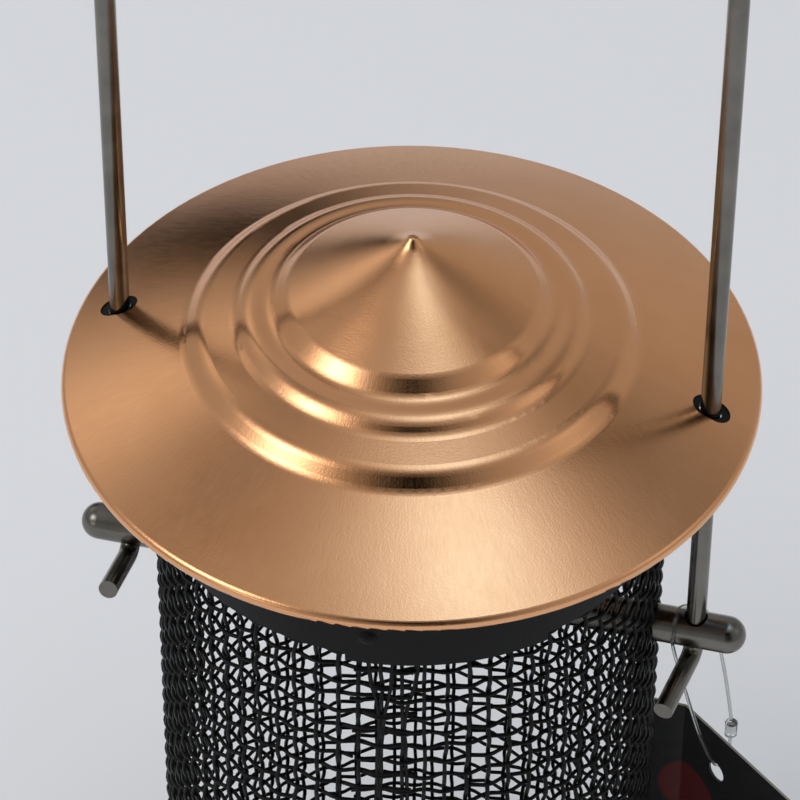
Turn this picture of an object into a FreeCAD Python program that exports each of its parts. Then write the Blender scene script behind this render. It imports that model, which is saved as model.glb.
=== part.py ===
import FreeCAD, Part
import math
import os

# Hanging mesh bird feeder with a pressed steel lid that slides up its wire bail.
# Millimetres. +Z is up, +X runs along the crossbar, -Y is the front.
# The origin is on the surface that the base stands on, on the tube's axis.

V = FreeCAD.Vector

# Driving dimensions
TUBE_R = 60.2
BODY_H = 260.0
LEG_PAST_TUBE = 9.06
LID_PAST_LEG = 10.74
LID_SHEET = 0.8
WIRE_D = 4.7
BAR_D = 9.0
BAR_END_PAST_LEG = 12.14
BAR_BELOW_RIM = 65.4
LEG_STRAIGHT_ABOVE_RIM = 129.0
BAND_SHEET = 0.6
BAND_H = 38.0

# Clearances
REST_GAP = 0.3
HOLE_GAP = 0.45
SLIDE_GAP = 0.35
GROMMET_GAP = 0.05
BAND_GAP = 0.05
LAYER_GAP = 0.12
RING_GAP = 0.12
PAN_GAP = 0.15
TAIL_GAP = 0.6
CORD_HOLE_GAP = 0.2
PAN_RIM_GAP = 0.5
CORD_GAP = 0.35
CORD_PAST_WIRE = 1.65
MESH_CUT_GAP = 0.12

# Lid, as heights above its rim plane and radii, all on the outer surface
BEAD_R = 1.8
BEAD_Z = 0.4
RING_1 = (51.7, 13.83, 48.3, 17.2)
RING_2 = (40.4, 19.7, 37.2, 22.6)
RING_3 = (32.3, 23.0, 28.3, 26.6)
BRIM_START = (52.9, 13.28)
BRIM_RISE = 0.2
DOME_END_FALL = 0.577
DOME_MID = (14.70, 34.32)
NECK = (7.0, 38.4)
NECK_MID = (5.58, 39.17)
FLANK_FOOT = (4.2, 40.0)
FLANK_MID = (2.59, 41.07)
TIP_FOOT = (1.2, 42.4)
TIP_H = 42.96
FOOT_ROUND = 5.0
RISER_ROUND = 6.0
SLOT_PAST_LEG = 0.24
SLOT_RUN = 2.4
GROMMET_WALL = 0.4
GROMMET_SUNK = 0.3
GROMMET_LIP = 1.2
GROMMET_LIP_T = 1.0
NOTCH_W = 0.9
NOTCH_DEPTH = 1.1

# Woven tube
MESH_WIRE_D = 1.05
UPRIGHTS = 74
HOOP_PITCH = 5.0
MESH_LOW = 1.4
MESH_BELOW_TOP = 1.2
SEAM_STEPS = (-14.5, -15.5, -16.5)

# Bands, rings and rivets
LAP_FROM = -90.0
LAP_TURN = 44.0
LAP_DROP = 1.5
RING_INSET = 4.0
RIVET_HEAD_D = 4.4
RIVET_HEAD_H = 0.9
RIVET_SHANK_D = 2.4
COLLAR_RIVET_STEPS = (-17.5, 0.5, 19.5, 37.5)
COLLAR_RIVET_HOOPS = 8.5
BASE_RIVET_STEPS = (9.5, 27.5, 46.5, 64.5)
BASE_RIVET_HOOPS = -35.5

# Base pan
PAN_SHEET = 0.8
PAN_BEAD_R = 1.2
PAN_DRAIN_D = 5.0
PAN_DRAINS = 8
PAN_DRAIN_PITCH_R = 36.0
PAN_FLOOR_LIFT = 3.0
PAN_FOOT_W = 5.0

# Bail tails: bend radius of the wire's middle line, length, upward angle, inward angle
BEND_R = 3.6
LEFT_TAIL = (20.0, 14.0, 0.0)
RIGHT_TAIL = (20.5, -2.0, 9.0)

# Hang tag and its filament
TAG_PAST_TUBE = 10.53
TAG_ANGLE = 25.0
TAG_LEAF_DIR = (0.778, -0.628)
TAG_BACK_DIR = (-0.999, 0.047)
TAG_LEAF_W = 48.0
TAG_BACK_W = 10.4
TAG_H = 75.0
TAG_T = 0.6
TAG_FOLD_R = 1.5
TAG_BELOW_RIM = 124.4
TAG_HOLE_D = 5.5
TAG_HOLE_IN = 13.0
CORD_D = 0.9
CORD_HOLE_RUN = 6.0
LOCK_D = 3.2
LOCK_H = 5.0
LOCK_ABOVE_HOLE = 9.0

# Worked out from the values above
LEG_X = TUBE_R + LEG_PAST_TUBE
LID_R = LEG_X + LID_PAST_LEG
BAND_IN_R = TUBE_R + BAND_GAP
BAND_OUT_R = BAND_IN_R + BAND_SHEET
LAP_R = BAND_OUT_R + BAND_SHEET
HOOP_R = TUBE_R - MESH_WIRE_D / 2
UPRIGHT_R = HOOP_R - MESH_WIRE_D - LAYER_GAP
RING_OUT_R = UPRIGHT_R - MESH_WIRE_D / 2 - RING_GAP
RING_IN_R = RING_OUT_R - BAND_SHEET
STEP_DEG = 360.0 / UPRIGHTS
MESH_TOP = BODY_H - MESH_BELOW_TOP
PAN_IN_R = BAND_OUT_R + PAN_GAP
PAN_OUT_R = PAN_IN_R + PAN_SHEET
BAR_CUT = BAR_D / 2 + MESH_CUT_GAP
GROMMET_HOLE_R = WIRE_D / 2 + SLIDE_GAP
SLOT_W = 2 * (GROMMET_HOLE_R + GROMMET_WALL + GROMMET_GAP)


def brim_arc():
    """The brim's outer surface above the rim plane, ending in line with the top of the rim's roll."""
    start = V(BRIM_START[0], 0, BRIM_START[1])
    roll = V(LID_R - BEAD_R, 0, BEAD_Z)
    fall = math.atan2(start.z - roll.z, roll.x - start.x)
    end = roll + V(math.sin(fall), 0, math.cos(fall)) * BEAD_R
    out = V(end.z - start.z, 0, start.x - end.x).normalize() * -BRIM_RISE
    return Part.Arc(start, (start + end) * 0.5 + out, end)


def brim_under(radius):
    """How high the brim's underside is above the rim plane at a radius."""
    curve = brim_arc().toShape().Curve
    centre, bend = curve.Center, curve.Radius - LID_SHEET
    return centre.z + math.sqrt(bend ** 2 - (radius - centre.x) ** 2)


RIM_Z = BODY_H + REST_GAP - brim_under(LAP_R)
BAR_Z = RIM_Z - BAR_BELOW_RIM
COLLAR_RIVET_Z = BAR_Z + COLLAR_RIVET_HOOPS * HOOP_PITCH
BASE_RIVET_Z = BAR_Z + BASE_RIVET_HOOPS * HOOP_PITCH
PAN_WALL_H = BASE_RIVET_Z + RIVET_HEAD_D / 2 + PAN_RIM_GAP + PAN_BEAD_R
LEG_TOP = RIM_Z + LEG_STRAIGHT_ABOVE_RIM
TAG_TOP = RIM_Z - TAG_BELOW_RIM
TAG_HOLE_Z = TAG_TOP - TAG_HOLE_IN


def corner(before, at, after, radius):
    """The ends and the middle of the arc that rounds the corner at a point."""
    back = (before - at).normalize()
    ahead = (after - at).normalize()
    half = back.getAngle(ahead) / 2
    reach = radius / math.tan(half)
    middle = (back + ahead).normalize() * (radius / math.sin(half) - radius)
    return at + back * reach, at + middle, at + ahead * reach


def rounded(points, radii):
    """Edges along the points, straight runs joined by tangent arcs."""
    edges = []
    here = points[0]
    for i, radius in enumerate(radii, start=1):
        if radius == 0:
            edges.append(Part.LineSegment(here, points[i]).toShape())
            here = points[i]
            continue
        start, middle, end = corner(points[i - 1], points[i], points[i + 1], radius)
        if here.distanceToPoint(start) > 1e-6:
            edges.append(Part.LineSegment(here, start).toShape())
        edges.append(Part.Arc(start, middle, end).toShape())
        here = end
    edges.append(Part.LineSegment(here, points[-1]).toShape())
    return edges


def swept(edges, diameter):
    """A round rod along the edges."""
    path = Part.Wire(edges)
    first = path.OrderedEdges[0]
    at, way = first.valueAt(first.FirstParameter), first.tangentAt(first.FirstParameter)
    ring = Part.Wire(Part.makeCircle(diameter / 2, at, way))
    return path.makePipeShell([ring], True, False)


def turned(face):
    return face.revolve(V(0, 0, 0), V(0, 0, 1), 360)


def pipe(r_out, r_in, low, high):
    """A round sleeve on the Z axis."""
    sleeve = Part.makeCylinder(r_out, high - low, V(0, 0, low))
    return sleeve.cut(Part.makeCylinder(r_in, high - low, V(0, 0, low)))


def at_step(shape, step):
    """The shape, made at angle zero, turned by so many mesh cells."""
    return shape.rotated(V(0, 0, 0), V(0, 0, 1), step * STEP_DEG)


def polar(radius, degrees, z):
    a = math.radians(degrees)
    return V(radius * math.cos(a), radius * math.sin(a), z)


def lid_profile():
    """The sheet's outer surface, from the tip to the top of the rim's roll."""
    def p(r, z):
        return V(r, 0, z)

    risers = [p(*RING_3[2:]), p(*RING_3[:2]), p(*RING_2[2:]), p(*RING_2[:2]), p(*RING_1[2:]), p(*RING_1[:2])]
    radii = [RISER_ROUND, FOOT_ROUND] * 3
    neck, flank_foot, tip_foot, tip = p(*NECK), p(*FLANK_FOOT), p(*TIP_FOOT), p(0, TIP_H)
    tip_rise = TIP_H - TIP_FOOT[1]
    tip_r = (TIP_FOOT[0] ** 2 + tip_rise ** 2) / (2 * tip_rise)
    half_turn = math.asin(TIP_FOOT[0] / tip_r) / 2
    tip_mid = p(tip_r * math.sin(half_turn), TIP_H - tip_r * (1 - math.cos(half_turn)))
    dome_end = p(RING_3[2] - RISER_ROUND, RING_3[3] + RISER_ROUND * DOME_END_FALL)
    edges = [
        Part.Arc(tip, tip_mid, tip_foot).toShape(),
        Part.Arc(tip_foot, p(*FLANK_MID), flank_foot).toShape(),
        Part.Arc(flank_foot, p(*NECK_MID), neck).toShape(),
        Part.Arc(neck, p(*DOME_MID), dome_end).toShape(),
    ]
    edges += rounded([dome_end] + risers + [p(*BRIM_START)], radii)
    edges.append(brim_arc().toShape())
    return Part.Wire(edges)


def slot_prism(side, grow):
    """An upright prism through the brim with a slot's outline, grown all round."""
    low = -LID_R / 4
    width = SLOT_W + 2 * grow
    middle = side * (LEG_X + SLOT_PAST_LEG)
    prism = Part.makeBox(SLOT_RUN, width, LID_R, V(middle - SLOT_RUN / 2, -width / 2, low))
    for end in (-1, 1):
        round_end = Part.makeCylinder(width / 2, LID_R, V(middle + end * SLOT_RUN / 2, 0, low))
        prism = prism.fuse(round_end)
    return prism


def lid_shell():
    """Pressed sheet with a rolled rim, two slots and a V notch in the tip."""
    sheet = lid_profile().makeOffset2D(-LID_SHEET, join=2, fill=True, openResult=True)
    shell = turned(sheet)
    roll = Part.makeTorus(LID_R - BEAD_R, BEAD_R, V(0, 0, BEAD_Z), V(0, 0, 1))
    shell = shell.fuse(roll)
    for side in (-1, 1):
        shell = shell.cut(slot_prism(side, 0))
    notch = Part.makeBox(4 * TIP_FOOT[0], NOTCH_W, NOTCH_W)
    notch.translate(V(-2 * TIP_FOOT[0], -NOTCH_W / 2, -NOTCH_W / 2))
    notch.rotate(V(0, 0, 0), V(1, 0, 0), 45)
    notch.translate(V(0, 0, TIP_H - NOTCH_DEPTH / 2 + NOTCH_W / 2))
    shell = shell.cut(notch)
    shell.translate(V(0, 0, RIM_Z))
    return shell


def brim_layer(above, thick):
    """A layer that follows the brim, from so far above its outer surface, so thick."""
    curve = brim_arc().toShape().Curve
    outer, inner = curve.Radius + above, curve.Radius + above - thick
    low, high = LEG_X - 2 * SLOT_W, LEG_X + 2 * SLOT_W

    def at(bend, radius):
        return V(radius, 0, curve.Center.z + math.sqrt(bend ** 2 - (radius - curve.Center.x) ** 2))

    edges = [
        Part.Arc(at(outer, low), at(outer, LEG_X), at(outer, high)).toShape(),
        Part.LineSegment(at(outer, high), at(inner, high)).toShape(),
        Part.Arc(at(inner, high), at(inner, LEG_X), at(inner, low)).toShape(),
        Part.LineSegment(at(inner, low), at(outer, low)).toShape(),
    ]
    return turned(Part.Face(Part.Wire(edges)))


def lid_grommets():
    """A moulded bush in each slot: a body inside the slot and a lip under the sheet."""
    under = LID_SHEET + GROMMET_GAP
    body = brim_layer(-GROMMET_SUNK, under + GROMMET_LIP_T - GROMMET_SUNK)
    lip = brim_layer(-under, GROMMET_LIP_T)
    grommets = []
    for side in (-1, 1):
        bush = body.common(slot_prism(side, -GROMMET_GAP))
        bush = bush.fuse(lip.common(slot_prism(side, GROMMET_LIP)))
        hole = Part.makeCylinder(GROMMET_HOLE_R, LID_R, V(side * LEG_X, 0, -LID_R / 4))
        grommets.append(bush.cut(hole).translated(V(0, 0, RIM_Z)))
    return Part.makeCompound(grommets)


def tail_points(side, length, rise, inward):
    """A tail's far end and its bend's corner, both on the wire's middle line."""
    z = BAR_Z - BAR_D / 2 - WIRE_D / 2 - TAIL_GAP
    up, turn = math.radians(rise), math.radians(inward)
    way = V(-side * math.sin(turn) * math.cos(up), -math.cos(turn) * math.cos(up), math.sin(up))
    bend = V(side * LEG_X, 0, z)
    return bend + way * length, bend


def bail_wire():
    left_end, left_bend = tail_points(-1, *LEFT_TAIL)
    right_end, right_bend = tail_points(1, *RIGHT_TAIL)
    left_top, right_top = V(-LEG_X, 0, LEG_TOP), V(LEG_X, 0, LEG_TOP)
    edges = rounded([left_end, left_bend, left_top], [BEND_R])
    edges.append(Part.Arc(left_top, V(0, 0, LEG_TOP + LEG_X), right_top).toShape())
    edges += rounded([right_top, right_bend, right_end], [BEND_R])
    return swept(edges, WIRE_D)


def crossbar():
    """A rod along X with round ends and an upright hole for each leg of the bail."""
    radius = BAR_D / 2
    half = LEG_X + BAR_END_PAST_LEG - radius
    rod = Part.makeCylinder(radius, 2 * half, V(-half, 0, BAR_Z), V(1, 0, 0))
    for side in (-1, 1):
        rod = rod.fuse(Part.makeSphere(radius, V(side * half, 0, BAR_Z)))
    rod = rod.removeSplitter()
    for side in (-1, 1):
        foot = V(side * LEG_X, 0, BAR_Z - BAR_D)
        rod = rod.cut(Part.makeCylinder(WIRE_D / 2 + HOLE_GAP, 2 * BAR_D, foot))
    return rod


def cut_for_bar(wire):
    """The wire's solids, without what is in the square holes that the crossbar goes through."""
    box = wire.BoundBox
    reach = BAR_CUT + MESH_WIRE_D
    beside = box.YMin > reach or box.YMax < -reach
    clear = box.ZMin > BAR_Z + reach or box.ZMax < BAR_Z - reach
    if beside or clear:
        return [wire]
    hole = Part.makeBox(4 * TUBE_R, 2 * BAR_CUT, 2 * BAR_CUT, V(-2 * TUBE_R, -BAR_CUT, BAR_Z - BAR_CUT))
    return wire.cut(hole).Solids


def upright(step):
    wire = Part.makeCylinder(MESH_WIRE_D / 2, MESH_TOP - MESH_LOW, V(UPRIGHT_R, 0, MESH_LOW))
    return at_step(wire, step)


def mesh_vertical_wires():
    """One wire per cell, cut where the crossbar goes through."""
    wires = []
    for step in range(UPRIGHTS):
        wires += cut_for_bar(upright(step))
    return Part.makeCompound(wires)


def hoop(z):
    """A closed ring with an eight-sided section inside the wire's round one."""
    section = []
    for i in range(9):
        a = math.radians(45 * i + 22.5)
        section.append(V(HOOP_R + MESH_WIRE_D / 2 * math.cos(a), 0, z + MESH_WIRE_D / 2 * math.sin(a)))
    return turned(Part.Face(Part.makePolygon(section)))


def mesh_hoop_wires():
    """Hoops at an even pitch, cut where the crossbar goes through."""
    hoops = []
    below = int((BAR_Z - MESH_LOW - MESH_WIRE_D) / HOOP_PITCH)
    above = int((MESH_TOP - MESH_WIRE_D - BAR_Z) / HOOP_PITCH)
    for k in range(-below, above + 1):
        hoops += cut_for_bar(hoop(BAR_Z + k * HOOP_PITCH))
    return Part.makeCompound(hoops)


def mesh_seam_wires():
    """The extra uprights where the mesh sheet's two edges lie over each other."""
    return Part.makeCompound([upright(step) for step in SEAM_STEPS])


def band(low, high, lap_low):
    """A sheet band whose outer end laps over the rest of it."""
    sleeve = pipe(BAND_OUT_R, BAND_IN_R, low, high)
    lap = Part.makeCylinder(LAP_R, high - lap_low, V(0, 0, lap_low), V(0, 0, 1), LAP_TURN)
    lap = lap.cut(Part.makeCylinder(BAND_OUT_R, high - lap_low, V(0, 0, lap_low)))
    return sleeve.fuse(lap.rotated(V(0, 0, 0), V(0, 0, 1), LAP_FROM))


def top_collar():
    low = BODY_H - BAND_H
    return band(low, BODY_H, low - LAP_DROP)


def bottom_band():
    """Plain band at the lower end, inside the pan's wall."""
    return pipe(BAND_OUT_R, BAND_IN_R, PAN_SHEET + REST_GAP, BAND_H - RING_INSET * 2)


def collar_inner_ring():
    return pipe(RING_OUT_R, RING_IN_R, BODY_H - BAND_H + RING_INSET, MESH_TOP)


def bottom_inner_ring():
    return pipe(RING_OUT_R, RING_IN_R, MESH_LOW, BAND_H - RING_INSET * 3)


def rivet(r_head, z):
    """A shank along X from inside the inner ring out to a domed head at r_head."""
    wide = RIVET_HEAD_D / 2
    inner = math.sqrt(RING_IN_R ** 2 - wide ** 2) - BAND_GAP - RIVET_HEAD_H
    shank = Part.makeCylinder(RIVET_SHANK_D / 2, r_head - inner, V(inner, 0, z), V(1, 0, 0))
    ball = (wide ** 2 + RIVET_HEAD_H ** 2) / (2 * RIVET_HEAD_H)
    dome = Part.makeSphere(ball, V(r_head + RIVET_HEAD_H - ball, 0, z))
    head = dome.common(Part.makeCylinder(wide, 2 * RIVET_HEAD_H, V(r_head, 0, z), V(1, 0, 0)))
    clinch = Part.makeCylinder(wide, RIVET_HEAD_H, V(inner, 0, z), V(1, 0, 0))
    return shank.fuse([head, clinch])


def collar_rivets():
    """Rivets through collar, mesh and inner ring; the first also goes through the collar's lap."""
    rivets = []
    for i, step in enumerate(COLLAR_RIVET_STEPS):
        r_head = BAND_OUT_R + (BAND_SHEET if i == 0 else 0) + BAND_GAP
        rivets.append(at_step(rivet(r_head, COLLAR_RIVET_Z), step))
    return Part.makeCompound(rivets)


def base_rivets():
    one = rivet(PAN_OUT_R + BAND_GAP, BASE_RIVET_Z)
    return Part.makeCompound([at_step(one, step) for step in BASE_RIVET_STEPS])


def drilled(shape, z, steps):
    """The sheet with a hole for each rivet's shank."""
    for step in steps:
        hole = Part.makeCylinder(RIVET_SHANK_D / 2 + BAND_GAP, TUBE_R, V(TUBE_R / 2, 0, z), V(1, 0, 0))
        shape = shape.cut(at_step(hole, step))
    return shape


def base_pan():
    """A tray with a raised floor, drain holes, a wall round the band and a rolled rim."""
    foot_in = PAN_OUT_R - PAN_SHEET - PAN_FOOT_W
    lift_r = foot_in - PAN_FLOOR_LIFT
    points = [
        V(0, 0, PAN_FLOOR_LIFT), V(lift_r, 0, PAN_FLOOR_LIFT), V(foot_in, 0, 0),
        V(PAN_OUT_R, 0, 0), V(PAN_OUT_R, 0, PAN_WALL_H),
    ]
    outside = Part.Wire(rounded(points, [1.6, 1.6, 1.4]))
    sheet = outside.makeOffset2D(PAN_SHEET, join=2, fill=True, openResult=True)
    pan = turned(sheet)
    bead_r = PAN_OUT_R - PAN_SHEET + PAN_BEAD_R
    pan = pan.fuse(Part.makeTorus(bead_r, PAN_BEAD_R, V(0, 0, PAN_WALL_H), V(0, 0, 1)))
    drain = Part.makeCylinder(PAN_DRAIN_D / 2, 4 * PAN_FLOOR_LIFT, V(0, 0, -PAN_FLOOR_LIFT))
    pan = pan.cut(drain)
    for i in range(PAN_DRAINS):
        place = polar(PAN_DRAIN_PITCH_R, 360 / PAN_DRAINS * i, 0)
        pan = pan.cut(drain.translated(place))
    return pan


def leaf_point(along, across, z):
    """A point on the tag's front leaf, by distance from the fold and from its middle plane."""
    ahead = V(TAG_LEAF_DIR[0], TAG_LEAF_DIR[1], 0)
    aside = V(-TAG_LEAF_DIR[1], TAG_LEAF_DIR[0], 0)
    return polar(TUBE_R + TAG_PAST_TUBE, TAG_ANGLE, z) + ahead * along + aside * across


def hang_tag():
    """A card folded once, standing on edge, with a hole for the filament."""
    low = TAG_TOP - TAG_H
    fold = leaf_point(0, 0, low)
    front = leaf_point(TAG_LEAF_W, 0, low)
    back = fold + V(TAG_BACK_DIR[0], TAG_BACK_DIR[1], 0) * TAG_BACK_W
    line = Part.Wire(rounded([front, fold, back], [TAG_FOLD_R]))
    card = line.makeOffset2D(-TAG_T, join=2, fill=True, openResult=True).extrude(V(0, 0, TAG_H))
    start = leaf_point(TAG_HOLE_IN, -TAG_HOLE_D, TAG_HOLE_Z)
    way = leaf_point(TAG_HOLE_IN, TAG_HOLE_D, TAG_HOLE_Z) - start
    return card.cut(Part.makeCylinder(TAG_HOLE_D / 2, 2 * TAG_HOLE_D, start, way))


def cord_route():
    """From the lock through the tag's hole, up and over the crossbar, and back to the lock."""
    side = (BAR_D / 2 + CORD_D / 2 + CORD_GAP)
    high = side * math.tan(math.radians(22.5))
    hole_z = TAG_HOLE_Z + TAG_HOLE_D / 2 - CORD_D / 2 - CORD_HOLE_GAP
    half = CORD_HOLE_RUN / 2
    card_mid = TAG_T / 2
    lock = leaf_point(TAG_HOLE_IN, card_mid + half, hole_z + LOCK_ABOVE_HOLE)
    beside = WIRE_D / 2 + CORD_D / 2 + CORD_PAST_WIRE
    inner_x, outer_x = LEG_X - beside, LEG_X + beside
    return [
        lock,
        leaf_point(TAG_HOLE_IN, card_mid + half, hole_z),
        leaf_point(TAG_HOLE_IN, card_mid - half, hole_z),
        V(inner_x, -side, BAR_Z - high),
        V(inner_x, -side, BAR_Z + high),
        V(inner_x, -high, BAR_Z + side),
        V(inner_x + 0.4, high, BAR_Z + side),
        V(outer_x, side, BAR_Z + high),
        lock + V(0, 0, LOCK_H),
    ]


def cord_radii(points):
    """Each arc is as large as its two runs allow."""
    radii = []
    for i in range(1, len(points) - 1):
        back, ahead = points[i - 1] - points[i], points[i + 1] - points[i]
        turn = math.pi - back.getAngle(ahead)
        radii.append(0.45 * min(back.Length, ahead.Length) / math.tan(turn / 2))
    return radii


def tag_loop():
    points = cord_route()
    radii = cord_radii(points)
    edges = rounded(points, radii)
    solid = swept(edges, CORD_D)
    length = sum(edge.Length for edge in edges)
    section = math.pi * CORD_D ** 2 / 4
    print("filament length", round(length, 1), "radii", [round(r, 1) for r in radii])
    print("volume over section times length", round(solid.Volume / (section * length), 4))
    return solid


def tag_loop_lock():
    """The head that both ends of the filament go into, square to its own height."""
    foot = cord_route()[0]
    body = Part.makeCylinder(LOCK_D / 2, LOCK_H, foot)
    return body.makeChamfer(0.5, [e for e in body.Edges if len(e.Vertexes) == 1])


NODES = {
    "lid_shell": lid_shell,
    "lid_grommets": lid_grommets,
    "bail_wire": bail_wire,
    "crossbar": crossbar,
    "mesh_vertical_wires": mesh_vertical_wires,
    "mesh_hoop_wires": mesh_hoop_wires,
    "mesh_seam_wires": mesh_seam_wires,
    "top_collar": lambda: drilled(top_collar(), COLLAR_RIVET_Z, COLLAR_RIVET_STEPS),
    "collar_inner_ring": lambda: drilled(collar_inner_ring(), COLLAR_RIVET_Z, COLLAR_RIVET_STEPS),
    "collar_rivets": collar_rivets,
    "bottom_band": lambda: drilled(bottom_band(), BASE_RIVET_Z, BASE_RIVET_STEPS),
    "bottom_inner_ring": lambda: drilled(bottom_inner_ring(), BASE_RIVET_Z, BASE_RIVET_STEPS),
    "base_pan": lambda: drilled(base_pan(), BASE_RIVET_Z, BASE_RIVET_STEPS),
    "base_rivets": base_rivets,
    "hang_tag": hang_tag,
    "tag_loop": tag_loop,
    "tag_loop_lock": tag_loop_lock,
}

os.makedirs("parts", exist_ok=True)
for name, make in NODES.items():
    shape = make()
    shape.exportStep("parts/" + name + ".step")
    box = shape.BoundBox
    print(name, "valid" if shape.isValid() else "INVALID", len(shape.Solids), "solids",
          "volume", round(shape.Volume, 1), "z", round(box.ZMin, 2), round(box.ZMax, 2),
          "x", round(box.XMin, 2), round(box.XMax, 2))
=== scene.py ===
"""Looks for the hanging mesh feeder: woven wire tube, copper-finished lid, steel bail and bar."""
import math

import bmesh
import bpy
import numpy as np
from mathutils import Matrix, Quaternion, Vector


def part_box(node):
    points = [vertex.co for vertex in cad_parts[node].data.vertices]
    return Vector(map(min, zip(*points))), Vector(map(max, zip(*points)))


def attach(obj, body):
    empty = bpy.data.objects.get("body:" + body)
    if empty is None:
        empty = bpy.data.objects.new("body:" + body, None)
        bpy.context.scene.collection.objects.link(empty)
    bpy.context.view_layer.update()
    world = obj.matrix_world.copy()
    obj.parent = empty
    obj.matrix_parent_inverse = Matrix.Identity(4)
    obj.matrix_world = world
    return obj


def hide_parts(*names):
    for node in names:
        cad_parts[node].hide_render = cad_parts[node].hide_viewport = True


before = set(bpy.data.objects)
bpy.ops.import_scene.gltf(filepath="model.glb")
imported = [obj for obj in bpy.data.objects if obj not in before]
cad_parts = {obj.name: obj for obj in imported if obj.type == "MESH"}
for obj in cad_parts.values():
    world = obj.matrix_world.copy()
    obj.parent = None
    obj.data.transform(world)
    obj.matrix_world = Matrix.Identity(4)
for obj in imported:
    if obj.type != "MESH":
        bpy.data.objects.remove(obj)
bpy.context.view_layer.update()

# Everything is in metres unless it says otherwise.

# Places, all from the frame
LID_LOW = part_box("lid_shell")[0]
ROLL_BELOW_RIM = 0.0014
RIM_Z = LID_LOW[2] + ROLL_BELOW_RIM
BAR_LOW, BAR_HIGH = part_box("crossbar")
BAR_Z = (BAR_LOW[2] + BAR_HIGH[2]) / 2
UPRIGHT_LOW, UPRIGHT_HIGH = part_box("mesh_vertical_wires")
HOOP_LOW, HOOP_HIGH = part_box("mesh_hoop_wires")
COLLAR_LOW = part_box("top_collar")[0]
TAG_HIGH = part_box("hang_tag")[1]

# The camera looks at the middle of the lid's rim from the front and a little to the right;
# angles in degrees, lens and sensor in millimetres
CAMERA_AZIMUTH = 13.56
CAMERA_ELEVATION = 43.24
CAMERA_ROLL = 0.52
CAMERA_DISTANCE = 1.0608
CAMERA_LENS = 208.87
CAMERA_SENSOR = 36
CAMERA_SHIFT = (-0.01475, -0.029)
CAMERA_CLIP = (0.05, 60)

# Soft lights of the room, as seen from the lid: azimuth, elevation, spread (degrees), strength
SOFT_LIGHTS = [
    (98, 81, 15, 0.95),
    (-122, 34, 12, 0.40),
    (-56, 43, 11, 5.2),
    (-34, 14, 8, 1.2),
    (98, 36, 12, 0.35),
]
# Dark parts of the room: azimuth, elevation, spread (degrees), share of the light that is kept
DARK_PARTS = [
    (-151, 9, 14, -0.1),
    (134, 50, 18, 0.5),
    (-102, 58, 12, 0.6),
    (14, 46, 22, -0.1),
    (22, 20, 18, 0.0),
]
ROOM_LIGHT = 0.42
ROOM_COLOUR = (1.0, 1.0, 1.0)
OVERHEAD_COLOUR = (1.0, 1.4, 1.8)

FILL_SIZE = 3.0
FILL_WATTS = 46
FILL_PLACE = (-0.5, -0.6, 2.6)

FLOOR_SIZE = 24
FLOOR_BELOW_BASE = 0.0002
FLOOR_COLOUR = (0.66, 0.66, 0.675)
FLOOR_ROUGHNESS = 0.9
FLOOR_SPECULAR = 0.1

# Noise textures stay mostly between these two values
NOISE_LOW, NOISE_HIGH = 0.3, 0.7
BLACK_SPECULAR = 0.14
GRAIN_DRIFT = 4
# Dark specks: cells per metre, the range of radius where one ends, and the range of a random
# number per cell above which it has a speck
SPECK_CELLS = 75.0
SPECK_EDGE = (0.02, 0.035)
SPECK_CHANCE = (0.93, 0.94)
SPECK_SHARE = 0.75

# The tag's plain spot, and the strip of bare paper along its top edge
SPOT_R = 0.0095
SPOT_EDGE = 0.0004
SPOT_CENTRE = (0.0672, 0.0274, TAG_HIGH[2] - 0.0289)
PAPER_FROM, PAPER_TO = TAG_HIGH[2] - 0.0001, TAG_HIGH[2] - 0.00005

# The weave: wires, their spacing, and how far each bends out of the middle at a crossing
WIRE_R = 0.000525
WIRE_SIDES = 6
UPRIGHTS = 74
HOOP_PITCH = 0.005
CRIMP_HOOP = 0.00055
CRIMP_UPRIGHT = 0.0005
SAMPLES_PER_CELL = 4
MIDDLE_R = HOOP_HIGH[0] - WIRE_R - CRIMP_HOOP
STEP = 2 * np.pi / UPRIGHTS
# Rows of hoops are counted from the crossbar, and BAR_ROW is the index of the row at its height
BAR_ROW = int(round((BAR_Z - HOOP_LOW[2] - WIRE_R) / HOOP_PITCH))
ROWS = np.arange(-BAR_ROW, int(round((HOOP_HIGH[2] - WIRE_R - BAR_Z) / HOOP_PITCH)) + 1)
ROW_Z = BAR_Z + ROWS * HOOP_PITCH

# How the wires wander: slowly, over a number of crossings, and a little at each crossing
WANDER = 0.00028
WANDER_CROSSINGS_UPRIGHT = 5
WANDER_CROSSINGS_HOOP = 6
JITTER = 0.0001

# The crossbar's holes: crossings this near stay regular, and the cut wires end here
REGULAR_CROSSINGS = 2
STUB = 0.0003
HOOP_CUT = 0.0046 / MIDDLE_R

# The seam, in steps between uprights: the hoops' ends lap over each other from left to right
SEAM_LEFT, SEAM_RIGHT = -18, -16
LAP_DEEPER = 0.0001
LAP_CRIMP = 0.6 * CRIMP_HOOP
LAP_RISE, LAP_RISE_SPREAD = 0.0003, 0.0006
START_PAST = (0.0006, 0.0020)
FINISH_PAST = (0.0018, 0.0036)
END_BEND = 0.0003
# Extra uprights at the seam: the step each starts from, the share of the way to the next step at
# the collar, and the share where it comes to lie further down
SEAM_UPRIGHTS = ((-18, 0.44, 0.90), (-17, 0.58, 0.10), (-16, 0.74, 0.14))
SEAM_LEAN = 0.024
SEAM_WAVE = (0.05, 0.08)
SEAM_SWAY = 0.10
SEAM_JITTER = 0.03
SEAM_CRIMP = 0.00012

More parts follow.
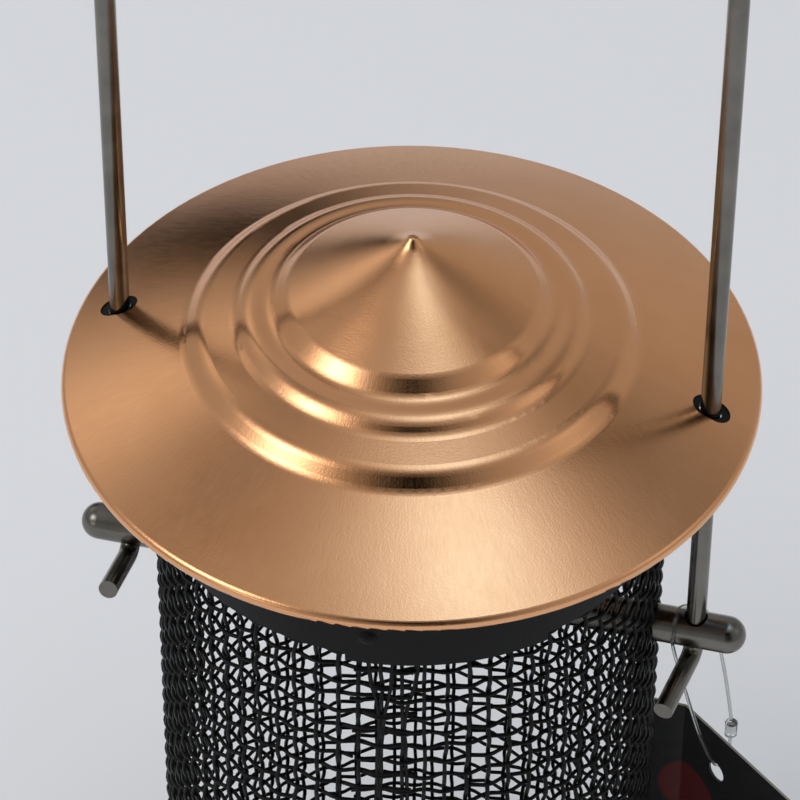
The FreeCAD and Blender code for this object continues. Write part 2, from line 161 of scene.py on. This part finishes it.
# From the lock through the tag's hole, over the crossbar behind the bail and back to the lock
FILAMENT_ROUTE = [
    (0.07629, 0.0243, 0.12509),
    (0.07629, 0.0243, 0.11609),
    (0.07252, 0.01963, 0.11609),
    (0.06481, -0.0053, 0.18379),
    (0.06481, -0.0053, 0.18818),
    (0.06481, -0.0022, 0.19129),
    (0.06521, 0.0022, 0.19129),
    (0.07371, 0.0053, 0.18818),
    (0.07629, 0.0243, 0.13009),
]
FILAMENT_D = 0.0009

rng = np.random.default_rng(7)


# ---------------------------------------------------------------- nodes

def set_input(links, socket, value):
    """The value is another node's output, or a plain number or vector."""
    if isinstance(value, bpy.types.NodeSocket):
        links.new(value, socket)
    else:
        socket.default_value = value


def number(nodes, links, operation, *values):
    """The result of a math node."""
    made = nodes.new("ShaderNodeMath")
    made.operation = operation
    for socket, value in zip(made.inputs, values):
        set_input(links, socket, value)
    return made.outputs["Value"]


def vector(nodes, links, operation, *values, output="Vector"):
    """The result of a vector math node."""
    made = nodes.new("ShaderNodeVectorMath")
    made.operation = operation
    for socket, value in zip(made.inputs, values):
        set_input(links, socket, value)
    return made.outputs[output]


def mixed(nodes, links, share, first, second):
    """The first colour where share is 0 and the second where it is 1."""
    made = nodes.new("ShaderNodeMix")
    made.data_type = "RGBA"
    for name, value in (("Factor", share), ("A", first), ("B", second)):
        if isinstance(value, tuple):
            value = (*value, 1)
        set_input(links, made.inputs[name], value)
    return made.outputs["Result"]


def noise(nodes, links, place, scale, detail, roughness):
    made = nodes.new("ShaderNodeTexNoise")
    made.inputs["Scale"].default_value = scale
    made.inputs["Detail"].default_value = detail
    made.inputs["Roughness"].default_value = roughness
    links.new(place, made.inputs["Vector"])
    return made.outputs["Fac"]


def mapped(nodes, links, value, from_range, to_range):
    """The value moved from one range to another and kept inside it."""
    made = nodes.new("ShaderNodeMapRange")
    for name, limit in zip(("From Min", "From Max", "To Min", "To Max"), (*from_range, *to_range)):
        made.inputs[name].default_value = limit
    links.new(value, made.inputs["Value"])
    return made.outputs["Result"]


def follow(nodes, links, value, low, high):
    """A number between low and high that follows a noise."""
    return mapped(nodes, links, value, (NOISE_LOW, NOISE_HIGH), (low, high))


def two_tone(nodes, links, value, low_colour, high_colour):
    """A colour between two that follows a noise."""
    made = nodes.new("ShaderNodeValToRGB")
    low, high = made.color_ramp.elements
    low.position, low.color = NOISE_LOW, (*low_colour, 1)
    high.position, high.color = NOISE_HIGH, (*high_colour, 1)
    links.new(value, made.inputs["Fac"])
    return made.outputs["Color"]


def bump(nodes, links, height, strength, distance, after=None):
    made = nodes.new("ShaderNodeBump")
    made.inputs["Strength"].default_value = strength
    made.inputs["Distance"].default_value = distance
    links.new(height, made.inputs["Height"])
    if after is not None:
        links.new(after, made.inputs["Normal"])
    return made.outputs["Normal"]


# ---------------------------------------------------------------- camera and light

def direction(azimuth, elevation):
    """A unit vector from the object, azimuth 0 towards the front and 90 to the right."""
    a, e = math.radians(azimuth), math.radians(elevation)
    return Vector((math.sin(a) * math.cos(e), -math.cos(a) * math.cos(e), math.sin(e)))


def add_camera():
    data = bpy.data.cameras.new("camera")
    data.lens = CAMERA_LENS
    data.sensor_width = CAMERA_SENSOR
    data.shift_x, data.shift_y = CAMERA_SHIFT
    data.clip_start, data.clip_end = CAMERA_CLIP
    camera = bpy.data.objects.new("camera", data)
    bpy.context.scene.collection.objects.link(camera)
    back = direction(CAMERA_AZIMUTH, CAMERA_ELEVATION)
    camera.location = Vector((0, 0, RIM_Z)) + back * CAMERA_DISTANCE
    camera.rotation_mode = "QUATERNION"
    level = (-back).to_track_quat("-Z", "Y")
    camera.rotation_quaternion = level @ Quaternion((0, 0, 1), math.radians(CAMERA_ROLL))
    bpy.context.scene.camera = camera


def lobe(nodes, links, look, azimuth, elevation, spread):
    """1 towards a direction, falling off smoothly round it."""
    towards = direction(azimuth, elevation)
    near = vector(nodes, links, "DOT_PRODUCT", look, towards, output="Value")
    off = number(nodes, links, "SUBTRACT", near, 1.0)
    steepness = 1.0 / (1.0 - math.cos(math.radians(spread)))
    return number(nodes, links, "EXPONENT", number(nodes, links, "MULTIPLY", off, steepness))


def add_room():
    """A soft room: an even grey with a few brighter and darker parts, and a cool light overhead."""
    world = bpy.data.worlds.new("room")
    world.use_nodes = True
    bpy.context.scene.world = world
    nodes, links = world.node_tree.nodes, world.node_tree.links
    look = nodes.new("ShaderNodeTexCoord").outputs["Generated"]
    light = ROOM_LIGHT
    for azimuth, elevation, spread, kept in DARK_PARTS:
        part = lobe(nodes, links, look, azimuth, elevation, spread)
        shade = number(nodes, links, "MULTIPLY_ADD", part, kept - 1.0, 1.0)
        light = number(nodes, links, "MULTIPLY", light, shade)
    for azimuth, elevation, spread, strength in SOFT_LIGHTS:
        part = lobe(nodes, links, look, azimuth, elevation, spread)
        light = number(nodes, links, "MULTIPLY_ADD", part, strength, light)
    links.new(light, nodes["Background"].inputs["Strength"])
    overhead = lobe(nodes, links, look, *SOFT_LIGHTS[0][:3])
    colour = mixed(nodes, links, overhead, ROOM_COLOUR, OVERHEAD_COLOUR)
    links.new(colour, nodes["Background"].inputs["Color"])


def add_fill():
    """A broad light overhead for the matt surfaces; polished ones reflect only the room."""
    data = bpy.data.lights.new("fill", "AREA")
    data.shape = "DISK"
    data.size = FILL_SIZE
    data.energy = FILL_WATTS
    fill = bpy.data.objects.new("fill", data)
    bpy.context.scene.collection.objects.link(fill)
    fill.location = FILL_PLACE
    fill.rotation_mode = "QUATERNION"
    fill.rotation_quaternion = fill.location.to_track_quat("Z", "Y")
    fill.visible_glossy = False


def add_floor():
    bpy.ops.mesh.primitive_plane_add(size=FLOOR_SIZE, location=(0, 0, -FLOOR_BELOW_BASE))
    floor = bpy.context.object
    floor.name = "floor"
    shader = new_material("floor_paper")[2]
    shader.inputs["Base Color"].default_value = (*FLOOR_COLOUR, 1)
    shader.inputs["Roughness"].default_value = FLOOR_ROUGHNESS
    shader.inputs["Specular IOR Level"].default_value = FLOOR_SPECULAR
    floor.data.materials.append(bpy.data.materials["floor_paper"])


# ---------------------------------------------------------------- materials

def new_material(name):
    """A new material: its nodes, its links and its main shader."""
    material = bpy.data.materials.new(name)
    material.use_nodes = True
    nodes, links = material.node_tree.nodes, material.node_tree.links
    return nodes, links, nodes["Principled BSDF"]


def object_place(nodes):
    return nodes.new("ShaderNodeTexCoord").outputs["Object"]


def round_direction(nodes, links, place):
    """The direction from the Z axis, drifting slowly with place: noise on it is radial grain."""
    flat = vector(nodes, links, "MULTIPLY", place, (1, 1, 0))
    unit = vector(nodes, links, "NORMALIZE", flat)
    return vector(nodes, links, "MULTIPLY_ADD", place, (GRAIN_DRIFT,) * 3, unit)


def dark_specks(nodes, links, place):
    """How much of the dark colour a place has: small round specks in a few of the cells."""
    cells = nodes.new("ShaderNodeTexVoronoi")
    cells.inputs["Scale"].default_value = SPECK_CELLS
    links.new(place, cells.inputs["Vector"])
    spot = mapped(nodes, links, cells.outputs["Distance"], SPECK_EDGE, (1.0, 0.0))
    chance = nodes.new("ShaderNodeSeparateColor")
    links.new(cells.outputs["Color"], chance.inputs["Color"])
    rare = mapped(nodes, links, chance.outputs["Red"], SPECK_CHANCE, (0.0, SPECK_SHARE))
    return number(nodes, links, "MULTIPLY", spot, rare)


def copper_finish():
    """Satin copper plating with radial grain, faint clouds and a few dark specks."""
    nodes, links, shader = new_material("copper_finish")
    place = object_place(nodes)
    around = round_direction(nodes, links, place)
    grain = noise(nodes, links, around, scale=62.0, detail=4.0, roughness=0.65)
    cloud = noise(nodes, links, place, scale=26.0, detail=4.0, roughness=0.6)
    pits = noise(nodes, links, place, scale=2300.0, detail=2.0, roughness=0.5)
    copper = two_tone(nodes, links, cloud, (0.82, 0.40, 0.185), (0.90, 0.465, 0.235))
    specks = dark_specks(nodes, links, place)
    speckled = mixed(nodes, links, specks, copper, (0.10, 0.045, 0.025))
    links.new(speckled, shader.inputs["Base Color"])
    shader.inputs["Metallic"].default_value = 1.0
    links.new(follow(nodes, links, grain, 0.17, 0.23), shader.inputs["Roughness"])
    fine = bump(nodes, links, pits, strength=0.10, distance=0.0002)
    normal = bump(nodes, links, grain, strength=0.05, distance=0.0003, after=fine)
    links.new(normal, shader.inputs["Normal"])


def drawn_steel():
    """Grey drawn steel with a slightly warm cloud and a fine grain."""
    nodes, links, shader = new_material("drawn_steel")
    place = object_place(nodes)
    cloud = noise(nodes, links, place, scale=90.0, detail=4.0, roughness=0.6)
    fine = noise(nodes, links, place, scale=1900.0, detail=3.0, roughness=0.6)
    steel = two_tone(nodes, links, cloud, (0.15, 0.14, 0.122), (0.225, 0.212, 0.19))
    links.new(steel, shader.inputs["Base Color"])
    shader.inputs["Metallic"].default_value = 1.0
    links.new(follow(nodes, links, cloud, 0.18, 0.27), shader.inputs["Roughness"])
    normal = bump(nodes, links, fine, strength=0.08, distance=0.0002)
    links.new(normal, shader.inputs["Normal"])


def black_coating(name, smoothest, roughest):
    """Black coating with a fine orange-peel surface."""
    nodes, links, shader = new_material(name)
    place = object_place(nodes)
    cloud = noise(nodes, links, place, scale=60.0, detail=4.0, roughness=0.6)
    peel = noise(nodes, links, place, scale=1100.0, detail=2.0, roughness=0.5)
    black = two_tone(nodes, links, cloud, (0.0035, 0.0035, 0.0036), (0.007, 0.007, 0.0072))
    links.new(black, shader.inputs["Base Color"])
    links.new(follow(nodes, links, cloud, smoothest, roughest), shader.inputs["Roughness"])
    normal = bump(nodes, links, peel, strength=0.18, distance=0.0003)
    links.new(normal, shader.inputs["Normal"])
    shader.inputs["Specular IOR Level"].default_value = BLACK_SPECULAR


def tag_card():
    """Black coated card with a plain dull red round spot, and pale paper along its top edge."""
    nodes, links, shader = new_material("tag_card")
    place = object_place(nodes)
    away = vector(nodes, links, "DISTANCE", place, SPOT_CENTRE, output="Value")
    spot_range = (SPOT_R - SPOT_EDGE, SPOT_R + SPOT_EDGE)
    inside = mapped(nodes, links, away, spot_range, (1.0, 0.0))
    fibre = noise(nodes, links, place, scale=700.0, detail=4.0, roughness=0.6)
    black = two_tone(nodes, links, fibre, (0.008, 0.008, 0.009), (0.014, 0.014, 0.015))
    printed = mixed(nodes, links, inside, black, (0.10, 0.012, 0.012))
    split = nodes.new("ShaderNodeSeparateXYZ")
    links.new(place, split.inputs["Vector"])
    cut = mapped(nodes, links, split.outputs["Z"], (PAPER_FROM, PAPER_TO), (0.0, 1.0))
    card = mixed(nodes, links, cut, printed, (0.24, 0.23, 0.19))
    links.new(card, shader.inputs["Base Color"])
    links.new(follow(nodes, links, fibre, 0.36, 0.5), shader.inputs["Roughness"])
    normal = bump(nodes, links, fibre, strength=0.12, distance=0.0002)
    links.new(normal, shader.inputs["Normal"])


def clear_nylon():
    nodes, links, shader = new_material("nylon_filament_clear")
    place = object_place(nodes)
    cloud = noise(nodes, links, place, scale=300.0, detail=3.0, roughness=0.5)
    pale = two_tone(nodes, links, cloud, (0.62, 0.63, 0.62), (0.74, 0.74, 0.72))
    links.new(pale, shader.inputs["Base Color"])
    shader.inputs["Transmission Weight"].default_value = 0.97
    shader.inputs["IOR"].default_value = 1.45
    links.new(follow(nodes, links, cloud, 0.04, 0.12), shader.inputs["Roughness"])


def give(name, material):
    """The CAD node's surface gets the material."""
    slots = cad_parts[name].data.materials
    slots.clear()
    slots.append(bpy.data.materials[material])


# ---------------------------------------------------------------- woven tube

def ease(part):
    """0 to 1 with a soft start and a soft end."""
    return (1 - np.cos(np.pi * part)) / 2


def smooth_wander(count, spacing):
    """A gentle random wander, one value per crossing, that turns every few crossings."""
    knots = rng.normal(0, WANDER, count // spacing + 3)
    place = np.arange(count) / spacing
    low = place.astype(int)
    part = ease(place - low)
    return knots[low] * (1 - part) + knots[low + 1] * part


def eased(points):
    """More points between the crossings, with the radius eased so that the wire is crimped."""
    t = np.linspace(0, len(points) - 1, (len(points) - 1) * SAMPLES_PER_CELL + 1)
    low = np.minimum(t.astype(int), len(points) - 2)
    part = t - low
    soft = ease(part)
    here, there = points[low], points[low + 1]
    out = here * (1 - part[:, None]) + there * part[:, None]
    out[:, 0] = here[:, 0] * (1 - soft) + there[:, 0] * soft
    return out


def wire_object(name, lines, upright):
    """One mesh of round wires with flat ends. A line is rows of radius, angle and height."""
    points, faces, start = [], [], 0
    turn = np.arange(WIRE_SIDES) * 2 * np.pi / WIRE_SIDES
    for line in lines:
        r, a, z = line[:, 0], line[:, 1], line[:, 2]
        centre = np.stack([r * np.cos(a), r * np.sin(a), z], 1)
        out = np.stack([np.cos(a), np.sin(a), 0 * a], 1)
        if upright:
            side = np.stack([-np.sin(a), np.cos(a), 0 * a], 1)
        else:
            side = np.tile([0.0, 0, 1], (len(a), 1))
        ring = (
            centre[:, None, :]
            + WIRE_R * np.cos(turn)[None, :, None] * out[:, None, :]
            + WIRE_R * np.sin(turn)[None, :, None] * side[:, None, :]
        )
        points.append(ring.reshape(-1, 3))
        last = start + (len(line) - 1) * WIRE_SIDES
        for here in range(start, last, WIRE_SIDES):
            there = here + WIRE_SIDES
            for s in range(WIRE_SIDES):
                t = (s + 1) % WIRE_SIDES
                faces.append((here + s, here + t, there + t, there + s))
        faces.append(tuple(start + s for s in reversed(range(WIRE_SIDES))))
        faces.append(tuple(last + s for s in range(WIRE_SIDES)))
        start = last + WIRE_SIDES
    mesh = bpy.data.meshes.new(name)
    mesh.from_pydata(np.concatenate(points).tolist(), [], faces)
    mesh.update()
    turn_outwards(mesh)
    mesh.polygons.foreach_set("use_smooth", [len(p.vertices) == 4 for p in mesh.polygons])
    made = bpy.data.objects.new(name, mesh)
    bpy.context.scene.collection.objects.link(made)
    made.data.materials.append(bpy.data.materials["wire_coating"])
    return made


def turn_outwards(mesh):
    """All faces look outwards."""
    work = bmesh.new()
    work.from_mesh(mesh)
    bmesh.ops.recalc_face_normals(work, faces=work.faces)
    work.to_mesh(mesh)
    work.free()


def crossings():
    """Angle and height of each crossing, and 1 where the hoop lies outside the upright, else -1."""
    angle = np.zeros((UPRIGHTS, len(ROWS)))
    height = np.zeros((UPRIGHTS, len(ROWS)))
    for i in range(UPRIGHTS):
        wander = smooth_wander(len(ROWS), WANDER_CROSSINGS_UPRIGHT)
        angle[i] = i * STEP + (wander + rng.normal(0, JITTER, len(ROWS))) / MIDDLE_R
    for j in range(len(ROWS)):
        wander = smooth_wander(UPRIGHTS, WANDER_CROSSINGS_HOOP)
        wander -= np.linspace(0, wander[-1] - wander[0], UPRIGHTS)
        height[:, j] = ROW_Z[j] + wander + rng.normal(0, JITTER, UPRIGHTS)
    near = slice(BAR_ROW - REGULAR_CROSSINGS, BAR_ROW + REGULAR_CROSSINGS + 1)
    for i in range(UPRIGHTS):
        past_bar = i % (UPRIGHTS // 2)
        if min(past_bar, UPRIGHTS // 2 - past_bar) <= REGULAR_CROSSINGS:
            angle[i, near] = i * STEP
            height[i, near] = ROW_Z[near]
    sign = np.where((np.arange(UPRIGHTS)[:, None] + ROWS[None, :]) % 2 == 0, 1.0, -1.0)
    return angle, height, sign


def upright_line(radius, angle, height, low, high):
    """From the line's lower end to its upper end through the crossings."""
    points = np.stack([radius, angle, height], 1)
    first, last = points[0].copy(), points[-1].copy()
    first[2], last[2] = low, high
    return eased(np.vstack([first, points, last]))


def upright_lines(angle, height, sign):
    """Uprights from end to end, but for the two that the crossbar's holes cut."""
    low, high = UPRIGHT_LOW[2], UPRIGHT_HIGH[2]
    below_bar = (slice(0, BAR_ROW), low, BAR_Z - HOOP_PITCH + STUB)
    above_bar = (slice(BAR_ROW + 1, None), BAR_Z + HOOP_PITCH - STUB, high)
    whole = (slice(None), low, high)
    lines = []
    for i in range(UPRIGHTS):
        radius = MIDDLE_R - CRIMP_UPRIGHT * sign[i]
        at_bar = i % (UPRIGHTS // 2) == 0
        for part, foot, top in (below_bar, above_bar) if at_bar else (whole,):
            lines.append(upright_line(radius[part], angle[i, part], height[i, part], foot, top))
    return lines


def hoop_lines(angle, height, sign):
    """Each hoop is one cut wire whose two ends lie over each other at the seam."""
    steps = SEAM_LEFT + np.arange(UPRIGHTS)
    order, turns = steps % UPRIGHTS, steps // UPRIGHTS * 2 * np.pi
    lap = steps[:SEAM_RIGHT - SEAM_LEFT + 1] % UPRIGHTS
    lines = []
    for j in range(len(ROWS)):
        main = np.stack([
            MIDDLE_R + CRIMP_HOOP * sign[order, j],
            angle[order, j] + turns,
            height[order, j],
        ], 1)
        tail = np.stack([
            MIDDLE_R - LAP_DEEPER + LAP_CRIMP * sign[lap, j],
            angle[lap, j],
            height[lap, j] + rng.normal(LAP_RISE, LAP_RISE_SPREAD),
        ], 1)
        start_past = rng.uniform(*START_PAST) / MIDDLE_R
        finish_past = rng.uniform(*FINISH_PAST) / MIDDLE_R
        finish = tail[-1] + np.array([0, finish_past, rng.normal(0, END_BEND)])
        start = main[0] - np.array([0, start_past, 0])
        start[2] += rng.normal(0, END_BEND)
        line = eased(np.vstack([start, main, tail, finish]))
        lines.extend(cut_at_bar(line) if j == BAR_ROW else [line])
    return lines


def cut_at_bar(line):
    """The parts of a hoop between its ends and the crossbar's two holes."""
    around = line[:, 1]
    parts = (
        (HOOP_CUT, np.pi - HOOP_CUT),
        (np.pi + HOOP_CUT, 2 * np.pi + around[0]),
        (around[0], -HOOP_CUT),
    )
    cut = [line[(around > low) & (around < high)] for low, high in parts]
    return [part for part in cut if len(part) > 1]


def seam_lines():
    """Extra uprights that lean from between their neighbours until they lie against them."""
    heights = np.concatenate([[UPRIGHT_LOW[2]], ROW_Z, [UPRIGHT_HIGH[2]]])
    side = np.where(np.arange(len(heights)) % 2 == 0, 1.0, -1.0)
    lean = ease(np.clip((COLLAR_LOW[2] - heights) / SEAM_LEAN, 0, 1))
    lines = []
    for home, share_high, share_low in SEAM_UPRIGHTS:
        wave, phase = rng.uniform(*SEAM_WAVE), rng.uniform(0, 2 * np.pi)
        share = share_high * (1 - lean) + share_low * lean
        sway = lean * SEAM_SWAY * np.sin(2 * np.pi * heights / wave + phase)
        share += sway + rng.normal(0, SEAM_JITTER, len(heights))
        radius = MIDDLE_R + SEAM_CRIMP * side
        lines.append(eased(np.stack([radius, (home + share) * STEP, heights], 1)))
    return lines


def woven_tube():
    """Uprights and hoops that pass over and under each other, and the seam's extra uprights."""
    angle, height, sign = crossings()
    made = wire_object("woven_uprights", upright_lines(angle, height, sign), True)
    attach(made, "feeder")
    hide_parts("mesh_vertical_wires")
    made = wire_object("woven_hoops", hoop_lines(angle, height, sign), False)
    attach(made, "feeder")
    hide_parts("mesh_hoop_wires")
    made = wire_object("seam_uprights", seam_lines(), True)
    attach(made, "feeder")
    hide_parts("mesh_seam_wires")


# ---------------------------------------------------------------- filament

def filament():
    data = bpy.data.curves.new("nylon_filament", "CURVE")
    data.dimensions = "3D"
    data.bevel_depth = FILAMENT_D / 2
    data.bevel_resolution = 3
    data.resolution_u = 16
    data.use_fill_caps = True
    spline = data.splines.new("NURBS")
    spline.points.add(len(FILAMENT_ROUTE) - 1)
    for point, place in zip(spline.points, FILAMENT_ROUTE):
        point.co = (*place, 1)
    spline.order_u = 3
    spline.use_endpoint_u = True
    made = bpy.data.objects.new("nylon_filament", data)
    bpy.context.scene.collection.objects.link(made)
    data.materials.append(bpy.data.materials["nylon_filament_clear"])
    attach(made, "feeder")
    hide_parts("tag_loop")


# ---------------------------------------------------------------- the scene

add_camera()
add_room()
add_fill()
add_floor()
copper_finish()
drawn_steel()
black_coating("wire_coating", 0.30, 0.42)
black_coating("powder_coating", 0.40, 0.50)
black_coating("moulded_black", 0.34, 0.42)
tag_card()
clear_nylon()
filament()
woven_tube()

give("lid_shell", "copper_finish")
for steel_node in ("bail_wire", "crossbar"):
    give(steel_node, "drawn_steel")
for coated_node in ("top_collar", "collar_inner_ring", "collar_rivets", "bottom_band",
                    "bottom_inner_ring", "base_pan", "base_rivets"):
    give(coated_node, "powder_coating")
give("lid_grommets", "moulded_black")
give("hang_tag", "tag_card")
give("tag_loop_lock", "nylon_filament_clear")

bpy.context.scene.view_settings.view_transform = "Standard"
